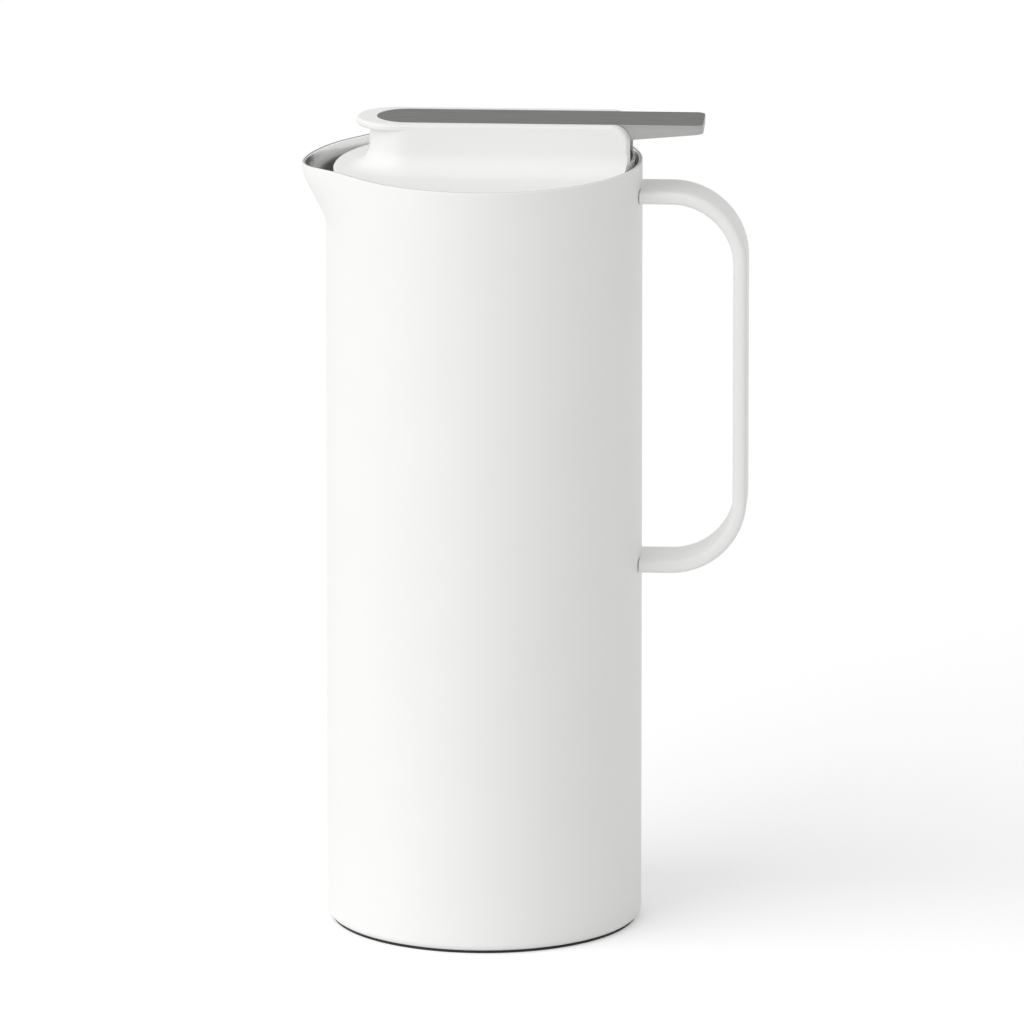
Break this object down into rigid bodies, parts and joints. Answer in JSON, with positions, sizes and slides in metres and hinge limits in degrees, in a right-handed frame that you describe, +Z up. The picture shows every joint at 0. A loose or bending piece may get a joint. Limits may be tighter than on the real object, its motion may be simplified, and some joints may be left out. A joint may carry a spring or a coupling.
{
  "type": "vacuum jug",
  "caption": "Double-walled vacuum jug with a formed pouring lip, a bent strap handle and a lift-off stopper whose thumb lever opens a spring-closed valve.",
  "frame": {"origin": "on the axis of the round body, on the surface that the jug stands on", "axes": "+Z up along the body, -X towards the pouring lip, +X towards the handle and the lever's tip"},
  "size_m": [0.1468, 0.104, 0.2708],
  "materials": {
    "shell_coat": "fine white powder coat, satin",
    "liner_steel": "bright drawn stainless steel",
    "plain_steel": "plain stainless steel",
    "pad_rubber": "matt black silicone",
    "bead_glass": "solder glass",
    "strap_coat": "fine white powder coat, satin",
    "lid_plastic": "white, fine satin texture",
    "stopper_plastic": "white, smooth",
    "seal_silicone": "grey silicone",
    "lever_metal": "satin grey metal",
    "lever_body": "satin die-cast metal"
  },
  "bodies": {
    "vessel": {"outer_shell": "shell_coat", "inner_liner": "liner_steel", "pouring_cup": "liner_steel", "base_plate": "plain_steel", "base_pad": "pad_rubber", "getter": "plain_steel", "vacuum_seal": "bead_glass", "handle_strap": "strap_coat", "handle_pad_upper": "plain_steel", "handle_pad_lower": "plain_steel"},
    "stopper": {"lid_cap": "lid_plastic", "stopper_body": "stopper_plastic", "stopper_gasket": "seal_silicone", "lid_screws": "plain_steel", "pivot_pin": "plain_steel", "stem_seal": "seal_silicone", "seal_retainer": "stopper_plastic", "return_spring": "plain_steel"},
    "lever": {"lever_plate": "lever_metal", "lever_arm": "lever_body"},
    "valve": {"push_cap": "stopper_plastic", "valve_stem": "plain_steel", "valve_plate": "stopper_plastic", "valve_gasket": "seal_silicone", "valve_nut": "plain_steel"}
  },
  "joints": [
    {"name": "lid_lift", "type": "slide", "parent": "vessel", "child": "stopper", "axis": [0, 0, 1], "range_m": [0, 0.06]},
    {"name": "lever_hinge", "type": "hinge", "parent": "stopper", "child": "lever", "pos_m": [-0.026, 0, 0.2652], "axis": [0, 1, 0], "range_deg": [0, 5.5], "stiffness_Nm_per_rad": 0.47, "springref_deg": -11.46},
    {"name": "valve_slide", "type": "slide", "parent": "stopper", "child": "valve", "axis": [0, 0, -1], "range_m": [0, 0.0025], "deforming": ["return_spring"]}
  ],
  "couplings": [
    {"joint": "valve_slide", "follows": "lever_hinge", "m_per_rad": 0.026}
  ]
}
